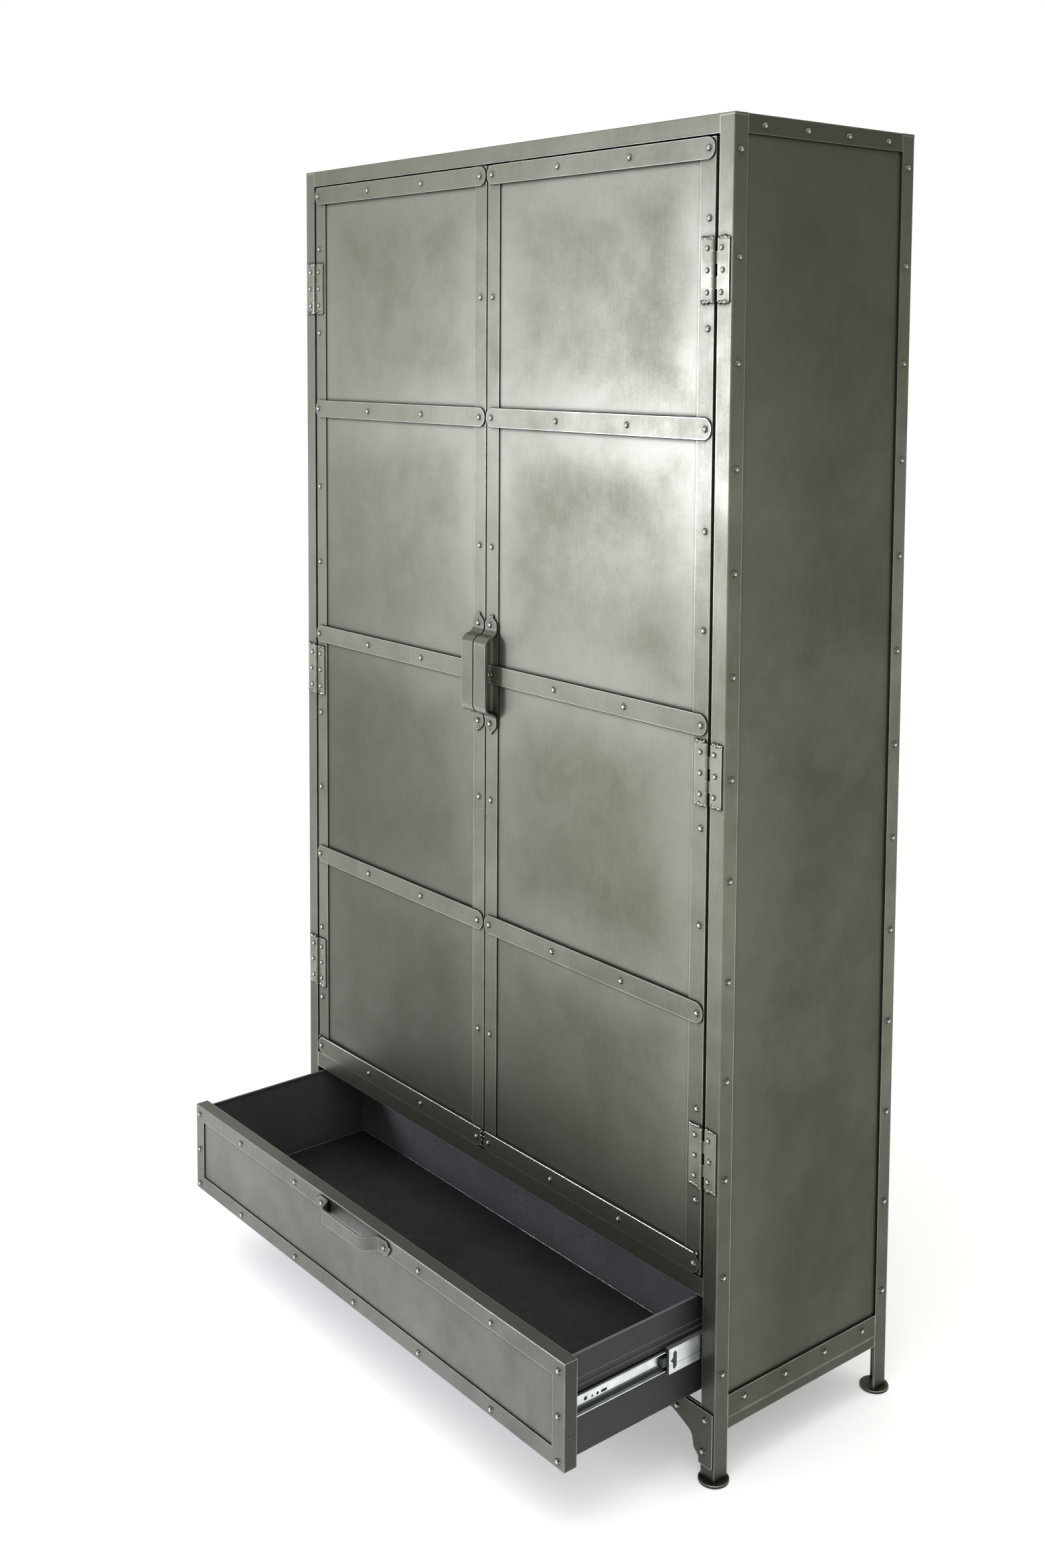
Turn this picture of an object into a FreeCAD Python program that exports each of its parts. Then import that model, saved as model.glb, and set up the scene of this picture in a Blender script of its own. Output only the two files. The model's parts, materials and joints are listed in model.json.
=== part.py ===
import FreeCAD, Part
import math
import os

# Riveted metal cabinet: two inset doors over one drawer, on four angle-iron legs.
# Millimetres. X runs across the front, the front faces -Y, Z is up from the floor.
# The origin is on the floor under the middle of the carcass. The doors are shut and
# the drawer stands open by DRAWER_OPEN.

V = FreeCAD.Vector
FORWARD = V(0, -1, 0)

# Carcass
WIDTH = 1000.0
DEPTH = 355.0
HEIGHT = 1805.0
FLANGE = 25.0            # width of the angle-iron legs
STEEL = 3.0              # thickness of the angle iron
SHEET = 1.2              # thickness of the sheet panels
EDGE_ROUND = 1.5         # rolled outer corner of the angle iron
JOIN_GAP = 0.3           # sheets stop this far short of their neighbours

RAIL_TOP = 118.0         # top of the side and back bottom rails
RAIL_BOTTOM = 71.0       # underside of all the bottom rails
FRONT_RAIL_TOP = 102.0   # top of the rail below the drawer
SEAM_HEIGHT = 15.0       # seam along the lower part of the side bottom rails
SEAM_DEPTH = 0.8
MID_RAIL_TOP = 277.0
MID_RAIL_BOTTOM = 252.0
DECK = 2.0

FOOT_RADIUS = 21.0
FOOT_THICK = 4.0
FOOT_INSET = 11.0        # from the outer corner of a leg to the middle of its foot

# Shelves and what holds them
SHELF_LEVELS = (640.0, 1010.0, 1390.0)
SHELF_THICK = 1.5
SHELF_LIP = 16.0
SHELF_FRONT = -145.0
LEDGER = 20.0
LEDGER_THICK = 2.0

# Doors
DOOR_GAP = 3.0           # between the two doors, and at top and bottom
HINGE_GAP = 6.0          # between a door and the leg it hangs on
STILE = 28.0
DOOR_SKIN = 2.0          # thickness of the door frame's flanges
DOOR_DEPTH = 18.0
DOOR_BOTTOM = 280.0
DOOR_TOP = 1777.0
STRAP = 28.0
STRAP_THICK = 2.5
STRAP_CORNER = 13.5
STRAP_LEVELS = (1763.0, 1407.0, 1022.0, 637.0, 294.0)
STRAP_INSET = 0.5        # straps and pulls stop this far short of the door's edges
CROSS_RAIL = 22.0
CROSS_RAIL_SET = 0.2     # cross rails lie this far behind the stiles

# Hinges, one set of three to a door
HINGE_LEVELS = (1609.0, 959.0, 443.0)
HINGE_LENGTH = 80.0
KNUCKLES = 5
KNUCKLE_GAP = 0.5
KNUCKLE_RADIUS = 2.7
PIN_RADIUS = 1.5
PIN_CLEARANCE = 0.06
PIN_HEAD = 1.2
LEAF_THICK = 2.0
KNUCKLE_ROOT = 0.5       # from the knuckles to the flat of the leaf on the door
KNUCKLE_LIFT = 0.8       # the knuckles clear the cabinet's face by this
PIN_X = 470.0
PIN_Y = -DEPTH / 2 - KNUCKLE_RADIUS - KNUCKLE_LIFT
# Where the leaves start and end and where their rivets are, measured from the pin.
DOOR_LEAF = (KNUCKLE_RADIUS + KNUCKLE_ROOT, 23.0)
FRAME_LEAF = (6.0, 26.0)
DOOR_LEAF_RIVETS = 12.0
FRAME_LEAF_RIVETS = 13.0
LEAF_RIVET_SPREAD = 28.0 # from the middle rivet of a leaf to the others
LEAF_RIVET_STAGGER = 2.0 # the middle rivet on the leg stands further out

# Pulls: one strip on each door and one on the drawer
DOOR_PULL_LENGTH = 181.0
DOOR_PULL_RIVETS = 150.0
DOOR_PULL_WIDTH = 27.0
DRAWER_PULL_LENGTH = 191.0
DRAWER_PULL_RIVETS = 164.0
DRAWER_PULL_WIDTH = 20.0
PULL_FOOT = 30.5         # from the end of the strip to the corner where it leaves the surface
DOOR_PULL_RAMP = 6.0     # how far a pull runs along while it stands off
DRAWER_PULL_RAMP = 12.0
PULL_STANDOFF = 24.0
PULL_THICK = 2.5
DOOR_PULL_BEND = 11.0    # inner radius of the bends
DRAWER_PULL_BEND = 14.0
# The ends taper to blunt points. These are shares of the strip's width.
PULL_TAPER = 0.42
PULL_SHOULDER_ROUND = 0.3
PULL_TIP_ROUND = 0.22
DRAWER_PULL_DROP = 14.0  # from the top of the drawer front to the middle of its pull

# Magnetic catches at the top of the doors
CATCH_X = 45.0
CATCH_WIDTH = 36.0
CATCH_DEPTH = 13.0
CATCH_GAP = 0.8
STRIKE_THICK = 2.0
STRIKE_LOW = 1756.0
STRIKE_HIGH = 1774.0

# Rivets
RIVET = 4.5
RIVET_HEIGHT = 3.1
LEAF_RIVET = 4.1
LEAF_RIVET_HEIGHT = 2.7
POST_RIVETS = 13
POST_RIVET_LOW = 152.0
POST_RIVET_HIGH = 1759.0
TOP_RAIL_RIVETS = 1791.5
BOTTOM_RAIL_RIVETS = 105.5
RAIL_RIVETS = 4          # along each side rail
RAIL_RIVET_INSET = 43.0
BACK_RIVETS = 7          # along each back rail
BACK_RIVET_INSET = 100.0
STRAP_RIVETS = 4
STRAP_RIVET_INSET = 13.0
HINGE_STILE_RIVET = 10.0 # from the hinge edge of the door
# The rivets down the hinge stile make way for the hinges.
HINGE_STILE_LEVELS = (1675.0, 1535.0, 1275.0, 1146.0, 885.0, 755.0, 506.0, 381.0)

# Drawer
DRAWER_OPEN = 240.0
FRONT_WIDTH = 946.0
FRONT_LOW = 107.0
FRONT_HIGH = 250.0
FRONT_DEPTH = 21.0
FRONT_STRIP = 24.0
BOX_HALF = 462.0
BOX_LOW = 113.0
BOX_HIGH = 247.5
BOX_DEPTH = 325.0
BOX_HEM = 2.0
BEAD_LOW = 198.0         # stiffening bead along the outside of the box
BEAD_HIGH = 206.0
BEAD_PROUD = 1.2
CREASE_Z = 214.0         # fold line above the bead
CREASE = 0.6
DRAWER_RIVET = 4.2
DRAWER_RIVET_SHIFT = 2.0 # the rows sit this far below the middle of their strips
DRAWER_RIVET_X = (162.0, 325.0)

# Telescopic slides
SLIDE_LENGTH = 300.0
SLIDE_SETBACK = 2.0      # from the back of the drawer front to the inner members
SLIDE_Z = 183.0
SLIDE_SKIN = 1.2
OUTER_HALF = 22.0
MIDDLE_HALF = 17.2
INNER_HALF = 13.5
INNER_WEB = 7.0          # half the height of the inner member's flat web
INNER_LIP = 7.0
INNER_SHOULDER = 3.4     # from the drawer side to where the lips turn outward
MIDDLE_LIP = 8.1
OUTER_LIP = 9.0
MIDDLE_INSET = 2.4       # from the leg's edge to the back of the middle member
MIDDLE_RATIO = 0.34      # how far the middle member moves for each step of the drawer
MIDDLE_RIB = 5.5         # from the middle of the slide down to the line of its rib
RIB_DEPTH = 0.5
SLOT = (8.0, 14.0)       # slot for the lever, back from the front end of the middle member
SLOT_HALF = 10.0
HOOK_HOLE = 23.0         # back from the front end of the inner member
SCREW_HOLES = ((32.0, 1.6), (41.0, 2.2))
LONG_HOLE = (47.0, 57.0)
LONG_HOLE_HALF = 1.8
CAGE_LENGTH = 34.0
CAGE_GAP = 0.1
CAGE_SKIN = 1.4
CAGE_LIP = 6.0
CAGE_NOSE = 1.5          # how far the cage stands out of the middle member
LEVER_PROUD = 2.0
LEVER_HALF = 8.0
TONGUE_LENGTH = 10.0     # black stop that runs in the web of the inner member
TONGUE_HALF = 6.0
TONGUE_GAP = 0.8

# Gusset beside each front leg
GUSSET_THICK = 2.5
# Corners of the right-hand gusset: across, up, and the radius that rounds each.
GUSSET_OUTLINE = (
    (421.0, 99.0, 16.0),
    (498.0, 99.0, 2.0),
    (498.0, 22.0, 3.0),
    (473.0, 22.0, 2.0),
    (473.0, 31.0, 4.0),
    (464.0, 39.0, 5.0),
    (460.0, 58.0, 14.0),
    (433.0, 70.0, 8.0),
    (421.0, 74.0, 4.0),
)
GUSSET_RIVETS = ((432.0, 81.0), (485.0, 86.0), (481.0, 41.0))

HALF = WIDTH / 2
FRONT = -DEPTH / 2
BACK = DEPTH / 2
OPENING = HALF - FLANGE
DRAWER_FACE = FRONT - DRAWER_OPEN
SLIDE_START = DRAWER_FACE + FRONT_DEPTH + SLIDE_SETBACK
SIDES = (-1, 1)


def plate(x, y, z):
    """Box between the given pairs of coordinates."""
    low = V(min(x), min(y), min(z))
    size = V(max(x), max(y), max(z)) - low
    return Part.makeBox(size.x, size.y, size.z, low)


def joined(shapes):
    """One solid out of touching shapes."""
    return shapes[0].fuse(shapes[1:]).removeSplitter()


def group(shapes):
    """Separate solids that share one node."""
    return Part.makeCompound([solid for shape in shapes for solid in shape.Solids])


def mirrored(shape):
    """The same shape on the other side of the middle plane."""
    return shape.mirror(V(0, 0, 0), V(1, 0, 0))


def rounded(shape, radius, wanted):
    """Round the edges whose midpoint the test accepts."""
    edges = [edge for edge in shape.Edges if wanted(edge.CenterOfMass)]
    return shape.makeFillet(radius, edges)


def rounded_face(corners):
    """Flat face through the corners, each a point and the radius that rounds it."""
    arcs = []
    for index, (point, radius) in enumerate(corners):
        back = (corners[index - 1][0] - point).normalize()
        ahead = (corners[(index + 1) % len(corners)][0] - point).normalize()
        half_turn = back.getAngle(ahead) / 2
        setback = radius / math.tan(half_turn)
        middle = (back + ahead).normalize() * (radius / math.sin(half_turn) - radius)
        arcs.append((point + back * setback, point + middle, point + ahead * setback, radius))
    edges = []
    for index, (start, middle, end, radius) in enumerate(arcs):
        if radius > 0:
            edges.append(Part.Arc(start, middle, end).toShape())
        edges.append(Part.LineSegment(end, arcs[(index + 1) % len(arcs)][0]).toShape())
    return Part.Face(Part.Wire(edges))


def rivet(place, direction, radius=RIVET, height=RIVET_HEIGHT):
    """Domed head that sits on a surface and bulges along the direction."""
    ball = (radius ** 2 + height ** 2) / (2 * height)
    lift = ball - height
    start = math.degrees(math.asin(lift / ball))
    return Part.makeSphere(ball, place - direction * lift, direction, start, 90)


def spread(low, high, count):
    """Evenly spaced values from low to high."""
    return [low + (high - low) * step / (count - 1) for step in range(count)]


# ---------------------------------------------------------------- carcass


def leg(side, end):
    """Corner angle iron, from its foot to the top frame."""
    corner_x = side * HALF
    corner_y = end * BACK
    tall = (FOOT_THICK, HEIGHT - STEEL)
    across = plate((corner_x, corner_x - side * FLANGE), (corner_y, corner_y - end * STEEL), tall)
    along = plate((corner_x, corner_x - side * STEEL), (corner_y, corner_y - end * FLANGE), tall)

    def outer_corner(p):
        return abs(p.x - corner_x) < 0.1 and abs(p.y - corner_y) < 0.1

    return rounded(joined([across, along]), EDGE_ROUND, outer_corner)


def top_cross_rail(end):
    """Front or back rail of the top frame, with the flange that covers the leg tops."""
    face = end * BACK
    upright = plate((-OPENING, OPENING), (face, face - end * STEEL), (HEIGHT - FLANGE, HEIGHT - STEEL))
    flat = plate((-HALF, HALF), (face, face - end * FLANGE), (HEIGHT - STEEL, HEIGHT))

    def upper_edge(p):
        return abs(p.y - face) < 0.1 and abs(p.z - HEIGHT) < 0.1

    return rounded(joined([upright, flat]), EDGE_ROUND, upper_edge)


def top_side_rail():
    """Side rail of the top frame, between the front and back rails."""
    inner = BACK - FLANGE
    upright = plate((HALF - STEEL, HALF), (-inner, inner), (HEIGHT - FLANGE, HEIGHT - STEEL))
    flat = plate((HALF - FLANGE, HALF), (-inner, inner), (HEIGHT - STEEL, HEIGHT))

    def upper_edge(p):
        return abs(p.x - HALF) < 0.1 and abs(p.z - HEIGHT) < 0.1

    return rounded(joined([upright, flat]), EDGE_ROUND, upper_edge)


def mid_rail():
    """Rail between the doors and the drawer."""
    upright = plate((-OPENING, OPENING), (FRONT, FRONT + STEEL), (MID_RAIL_BOTTOM, MID_RAIL_TOP))
    flat = plate((-OPENING, OPENING), (FRONT, FRONT + FLANGE), (MID_RAIL_TOP - STEEL, MID_RAIL_TOP))
    return joined([upright, flat])


def bottom_cross_rail(end, top):
    """Front or back rail at the bottom."""
    face = end * BACK
    upright = plate((-OPENING, OPENING), (face, face - end * STEEL), (RAIL_BOTTOM, top))
    flat = plate((-OPENING, OPENING), (face, face - end * FLANGE), (RAIL_BOTTOM, RAIL_BOTTOM + STEEL))
    return joined([upright, flat])


def bottom_side_rail():
    """Deep side rail at the bottom, with the seam that runs along its lower part."""
    inner = BACK - FLANGE
    upright = plate((HALF - STEEL, HALF), (-inner, inner), (RAIL_BOTTOM, RAIL_TOP))
    flat = plate((HALF - FLANGE, HALF), (-inner, inner), (RAIL_BOTTOM, RAIL_BOTTOM + STEEL))
    seam_z = RAIL_BOTTOM + SEAM_HEIGHT
    seam = plate((HALF - SEAM_DEPTH, HALF), (-inner, inner), (seam_z, seam_z + SEAM_DEPTH))
    return joined([upright, flat]).cut(seam)


def side_panel():
    """Sheet inside the legs and side rails."""
    inside = HALF - STEEL
    low = RAIL_BOTTOM + STEEL + JOIN_GAP
    high = HEIGHT - STEEL - SHEET - JOIN_GAP
    return plate((inside - SHEET, inside), (FRONT + STEEL, BACK - STEEL), (low, high))


def back_panel():
    """Sheet inside the back legs and rails."""
    inside = BACK - STEEL
    half = HALF - STEEL - SHEET - JOIN_GAP
    low = RAIL_BOTTOM + STEEL + JOIN_GAP
    high = HEIGHT - STEEL - SHEET - JOIN_GAP
    return plate((-half, half), (inside - SHEET, inside), (low, high))


def top_panel():
    """Sheet under the top frame."""
    half = HALF - STEEL
    return plate((-half, half), (FRONT + STEEL, BACK - STEEL), (HEIGHT - STEEL - SHEET, HEIGHT - STEEL))


def deck_panel():
    """Floor of the cupboard, over the drawer."""
    half = HALF - STEEL - SHEET - JOIN_GAP
    back = BACK - STEEL - SHEET - JOIN_GAP
    return plate((-half, half), (FRONT + FLANGE, back), (MID_RAIL_TOP - DECK, MID_RAIL_TOP))


def shelf(level):
    """Folded sheet shelf with a front lip."""
    half = HALF - STEEL - SHEET - JOIN_GAP
    back = BACK - STEEL - SHEET - JOIN_GAP
    board = plate((-half, half), (SHELF_FRONT, back), (level - SHELF_THICK, level))
    lip = plate((-half, half), (SHELF_FRONT, SHELF_FRONT + SHELF_THICK), (level - SHELF_LIP, level))
    return joined([board, lip])


def ledger_bars():
    """Angles that carry the shelves and the deck, and the bars that carry the slides."""
    wall = HALF - STEEL - SHEET
    bars = []
    for level in SHELF_LEVELS + (MID_RAIL_TOP - DECK + SHELF_THICK,):
        top = level - SHELF_THICK
        ends = (SHELF_FRONT + 2 * SHELF_THICK, BACK - STEEL - SHEET - JOIN_GAP)
        upright = plate((wall - LEDGER_THICK, wall), ends, (top - LEDGER, top))
        flat = plate((wall - LEDGER, wall), ends, (top - LEDGER_THICK, top))
        bars.append(joined([upright, flat]))
    ends = (FRONT + STEEL + JOIN_GAP, BACK - STEEL - SHEET - JOIN_GAP)
    bars.append(plate((OPENING, wall), ends, (SLIDE_Z - OUTER_HALF, SLIDE_Z + OUTER_HALF)))
    return group(bars + [mirrored(bar) for bar in bars])


def feet():
    """Thin round disc under each leg."""
    across = HALF - FOOT_INSET
    along = BACK - FOOT_INSET
    discs = []
    for side in SIDES:
        for end in SIDES:
            disc = Part.makeCylinder(FOOT_RADIUS, FOOT_THICK, V(side * across, end * along, 0))
            discs.append(disc.makeFillet(FOOT_THICK / 4, disc.Edges))
    return group(discs)


def gusset():
    """Shaped plate on the front of a leg, with a curved inner edge."""
    outline = [(V(x, FRONT, z), radius) for x, z, radius in GUSSET_OUTLINE]
    return rounded_face(outline).extrude(FORWARD * GUSSET_THICK)


# ---------------------------------------------------------------- bent strips


def bent_strip(width, length, ramp, bend):
    """Hat-shaped pull, upright, with its back on the plane y = 0 and its middle at x = 0, z = 0."""
    half_end = length / 2
    half_ramp = half_end - PULL_FOOT
    half_grip = half_ramp - ramp
    crown = PULL_THICK - PULL_STANDOFF
    stations = [
        V(0, 0, half_ramp),
        V(0, crown, half_grip),
        V(0, crown, -half_grip),
        V(0, 0, -half_ramp),
    ]
    wide = bend + PULL_THICK
    inner_radius = [wide, bend, bend, wide]
    outer_radius = [bend, wide, wide, bend]
    ramp_angle = math.atan2(-crown, ramp)
    shift = PULL_THICK * math.tan(ramp_angle / 2)
    outline = [(V(0, 0, half_end), 0)]
    outline += list(zip(stations, inner_radius))
    outline += [(V(0, 0, -half_end), 0), (V(0, -PULL_THICK, -half_end), 0)]
    steps = (shift, shift, -shift, -shift)
    outer = [point + V(0, -PULL_THICK, step) for point, step in zip(stations, steps)]
    outline += list(zip(reversed(outer), reversed(outer_radius)))
    outline += [(V(0, -PULL_THICK, half_end), 0)]
    strip = rounded_face(outline).extrude(V(width, 0, 0))
    strip.translate(V(-width / 2, 0, 0))
    side = width / 2
    shoulder = half_end - width * PULL_TAPER
    blank = []
    for end in SIDES:
        corner = width * PULL_SHOULDER_ROUND
        blank.append((V(end * side, 0, -end * shoulder), corner))
        blank.append((V(end * side, 0, end * shoulder), corner))
        blank.append((V(0, 0, end * half_end), width * PULL_TIP_ROUND))
    return strip.common(rounded_face(blank).extrude(FORWARD * PULL_STANDOFF))


# ---------------------------------------------------------------- doors


def door_span():
    """Left and right edge of the right-hand door."""
    return DOOR_GAP / 2, OPENING - HINGE_GAP


def door_frame():
    """Angle frame of a door with its cross rails, welded into one."""
    left, right = door_span()
    back = FRONT + DOOR_DEPTH
    skin = FRONT + DOOR_SKIN
    outer = plate((left, right), (FRONT, back), (DOOR_BOTTOM, DOOR_TOP))
    window = plate(
        (left + STILE, right - STILE),
        (FRONT, back),
        (DOOR_BOTTOM + STRAP, DOOR_TOP - STRAP),
    )
    hollow = plate(
        (left + DOOR_SKIN, right - DOOR_SKIN),
        (skin, back),
        (DOOR_BOTTOM + DOOR_SKIN, DOOR_TOP - DOOR_SKIN),
    )
    ring = outer.cut([window, hollow])
    rails = []
    for level in STRAP_LEVELS[1:-1]:
        span = (level - CROSS_RAIL / 2, level + CROSS_RAIL / 2)
        rails.append(plate((left + STILE, right - STILE), (FRONT + CROSS_RAIL_SET, skin), span))
    frame = joined([ring] + rails)

    def front_edge(p):
        on_side = abs(p.x - left) < 0.1 or abs(p.x - right) < 0.1
        return abs(p.y - FRONT) < 0.1 and on_side

    return rounded(frame, DOOR_SKIN / 3, front_edge)


def door_panel():
    """Sheet behind the door frame."""
    left, right = door_span()
    margin = DOOR_SKIN + JOIN_GAP
    skin = FRONT + DOOR_SKIN
    return plate(
        (left + margin, right - margin),
        (skin, skin + SHEET),
        (DOOR_BOTTOM + margin, DOOR_TOP - margin),
    )


def door_straps():
    """Five flat straps with rounded ends, over the door frame."""
    left, right = door_span()
    straps = []
    for level in STRAP_LEVELS:
        outline = [
            (V(left + STRAP_INSET, FRONT, level - STRAP / 2), STRAP_CORNER),
            (V(right - STRAP_INSET, FRONT, level - STRAP / 2), STRAP_CORNER),
            (V(right - STRAP_INSET, FRONT, level + STRAP / 2), STRAP_CORNER),
            (V(left + STRAP_INSET, FRONT, level + STRAP / 2), STRAP_CORNER),
        ]
        straps.append(rounded_face(outline).extrude(FORWARD * STRAP_THICK))
    return group(straps)


def door_pull():
    """Bent strip on the meeting stile."""
    pull = bent_strip(DOOR_PULL_WIDTH, DOOR_PULL_LENGTH, DOOR_PULL_RAMP, DOOR_PULL_BEND)
    middle_x = DOOR_GAP / 2 + STRAP_INSET + DOOR_PULL_WIDTH / 2
    pull.translate(V(middle_x, FRONT, STRAP_LEVELS[2]))
    return pull


def door_rivets():
    """Heads on the straps, the stiles, the hinge leaves and the pull of a door."""
    left, right = door_span()
    meeting_x = left + STRAP_RIVET_INSET
    hinge_x = right - HINGE_STILE_RIVET
    strap_face = FRONT - STRAP_THICK
    pull_face = FRONT - PULL_THICK
    places = []
    for level in STRAP_LEVELS:
        places += [V(x, strap_face, level) for x in spread(meeting_x, hinge_x, STRAP_RIVETS)]
    for upper, lower in zip(STRAP_LEVELS, STRAP_LEVELS[1:]):
        places.append(V(meeting_x, FRONT, (upper + lower) / 2))
    places += [V(hinge_x, FRONT, level) for level in HINGE_STILE_LEVELS]
    for side in SIDES:
        z = STRAP_LEVELS[2] + side * DOOR_PULL_RIVETS / 2
        places.append(V(meeting_x, pull_face, z))
    heads = [rivet(place, FORWARD) for place in places]
    return group(heads + hinge_rivets(PIN_X - DOOR_LEAF_RIVETS, 0))


# ---------------------------------------------------------------- hinges


def hinge_rivets(leaf_x, stagger):
    """Three heads down each leaf; the middle one may stand a little further out."""
    heads = []
    for level in HINGE_LEVELS:
        for step in (-1, 0, 1):
            x = leaf_x + (0 if step else stagger)
            place = V(x, FRONT - LEAF_THICK, level + step * LEAF_RIVET_SPREAD)
            heads.append(rivet(place, FORWARD, LEAF_RIVET, LEAF_RIVET_HEIGHT))
    return heads


def hinge_leaf(level, outward, bore, odd):
    """Leaf with every other knuckle; outward is +1 on the leg and -1 on the door."""
    bottom = level - HINGE_LENGTH / 2
    pitch = HINGE_LENGTH / KNUCKLES
    near, far = [PIN_X + outward * x for x in (FRAME_LEAF if outward > 0 else DOOR_LEAF)]
    plane = (FRONT - LEAF_THICK, FRONT)
    parts = [plate((near, far), plane, (bottom, bottom + HINGE_LENGTH))]
    for index in range(KNUCKLES):
        if (index % 2 == 0) != odd:
            continue
        low = bottom + index * pitch + KNUCKLE_GAP / 2
        high = bottom + (index + 1) * pitch - KNUCKLE_GAP / 2
        barrel = Part.makeCylinder(KNUCKLE_RADIUS, high - low, V(PIN_X, PIN_Y, low))
        tab = plate((PIN_X, near + outward), plane, (low, high))
        parts += [barrel, tab]
    leaf = joined(parts)
    hole = Part.makeCylinder(bore, HINGE_LENGTH, V(PIN_X, PIN_Y, bottom))
    return leaf.cut(hole)


def frame_leaves():
    """The three leaves on the right-hand leg."""
    return group([hinge_leaf(level, 1, PIN_RADIUS, False) for level in HINGE_LEVELS])


def door_leaves():
    """The three leaves on the right-hand door, free to turn on the pins."""
    bore = PIN_RADIUS + PIN_CLEARANCE
    return group([hinge_leaf(level, -1, bore, True) for level in HINGE_LEVELS])


def hinge_pins():
    """Pins of the right-hand hinges, with a thin head at each end."""
    pins = []
    for level in HINGE_LEVELS:
        low = level - HINGE_LENGTH / 2
        pin = Part.makeCylinder(PIN_RADIUS, HINGE_LENGTH, V(PIN_X, PIN_Y, low))
        heads = []
        for z in (low - PIN_HEAD, low + HINGE_LENGTH):
            heads.append(Part.makeCylinder(KNUCKLE_RADIUS, PIN_HEAD, V(PIN_X, PIN_Y, z)))
        pins.append(joined([pin] + heads))
    return group(pins)


# ---------------------------------------------------------------- catches


def catch_pads():
    """Magnetic catch for each door, under the top frame."""
    front = FRONT + DOOR_DEPTH + STRIKE_THICK + CATCH_GAP
    roof = HEIGHT - STEEL - SHEET
    pads = []
    for side in SIDES:
        width = (side * CATCH_X - CATCH_WIDTH / 2, side * CATCH_X + CATCH_WIDTH / 2)
        magnet = plate(width, (front, front + CATCH_DEPTH), (STRIKE_LOW, DOOR_TOP))
        hanger = plate(width, (front, front + 2 * CATCH_DEPTH), (DOOR_TOP, roof))
        pads.append(joined([magnet, hanger]))
    return group(pads)


def strike_plate():
    """Steel plate inside the right-hand door that the catch holds."""
    back = FRONT + DOOR_DEPTH
    width = (CATCH_X - CATCH_WIDTH / 2, CATCH_X + CATCH_WIDTH / 2)
    face = plate(width, (back, back + STRIKE_THICK), (STRIKE_LOW, STRIKE_HIGH))
    stem = plate(width, (FRONT + DOOR_SKIN + SHEET, back), (STRIKE_LOW, STRIKE_LOW + STRIKE_THICK))
    return joined([face, stem])


# ---------------------------------------------------------------- carcass rivets


def side_rivets():
    """Heads on the right-hand side: down both legs and along both rails."""
    leg_y = BACK - FLANGE / 2
    places = []
    for level in spread(POST_RIVET_LOW, POST_RIVET_HIGH, POST_RIVETS):
        places += [V(HALF, end * leg_y, level) for end in SIDES]
    rail_y = spread(RAIL_RIVET_INSET - leg_y, leg_y - RAIL_RIVET_INSET, RAIL_RIVETS)
    places += [V(HALF, y, z) for y in rail_y for z in (TOP_RAIL_RIVETS, BOTTOM_RAIL_RIVETS)]
    return group([rivet(place, V(1, 0, 0)) for place in places])


def back_rivets():
    """Heads on the back: down both legs and along the top and bottom rails."""
    leg_x = HALF - FLANGE / 2
    places = []
    for level in spread(POST_RIVET_LOW, POST_RIVET_HIGH, POST_RIVETS):
        places += [V(side * leg_x, BACK, level) for side in SIDES]
    for x in spread(BACK_RIVET_INSET - leg_x, leg_x - BACK_RIVET_INSET, BACK_RIVETS):
        places += [V(x, BACK, z) for z in (TOP_RAIL_RIVETS, BOTTOM_RAIL_RIVETS)]
    return group([rivet(place, V(0, 1, 0)) for place in places])


def front_rivets():
    """Heads on the frame leaves of the hinges and on the gussets."""
    face = FRONT - GUSSET_THICK
    heads = [rivet(V(x, face, z), FORWARD) for x, z in GUSSET_RIVETS]
    heads += hinge_rivets(PIN_X + FRAME_LEAF_RIVETS, LEAF_RIVET_STAGGER)
    return group(heads + [mirrored(head) for head in heads])


# ---------------------------------------------------------------- drawer


def drawer_frame():
    """Angle frame round the drawer front."""
    half = FRONT_WIDTH / 2
    back = DRAWER_FACE + FRONT_DEPTH
    skin = DRAWER_FACE + DOOR_SKIN
    outer = plate((-half, half), (DRAWER_FACE, back), (FRONT_LOW, FRONT_HIGH))
    window = plate(
        (-half + FRONT_STRIP, half - FRONT_STRIP),
        (DRAWER_FACE, back),
        (FRONT_LOW + FRONT_STRIP, FRONT_HIGH - FRONT_STRIP),
    )
    hollow = plate(
        (-half + DOOR_SKIN, half - DOOR_SKIN),
        (skin, back),
        (FRONT_LOW + DOOR_SKIN, FRONT_HIGH - DOOR_SKIN),
    )

    def front_edge(p):
        on_side = abs(abs(p.x) - half) < 0.1
        on_end = abs(p.z - FRONT_HIGH) < 0.1 or abs(p.z - FRONT_LOW) < 0.1
        return abs(p.y - DRAWER_FACE) < 0.1 and (on_side or on_end)

    return rounded(outer.cut([window, hollow]), DOOR_SKIN / 2, front_edge)


def drawer_panel():
    """Sheet behind the drawer front's frame."""
    half = FRONT_WIDTH / 2 - DOOR_SKIN - JOIN_GAP
    margin = DOOR_SKIN + JOIN_GAP
    skin = DRAWER_FACE + DOOR_SKIN
    return plate((-half, half), (skin, skin + SHEET), (FRONT_LOW + margin, FRONT_HIGH - margin))


def box_span():
    """Front and back of the drawer box."""
    start = DRAWER_FACE + DOOR_SKIN + SHEET
    return start, start + BOX_DEPTH


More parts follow.
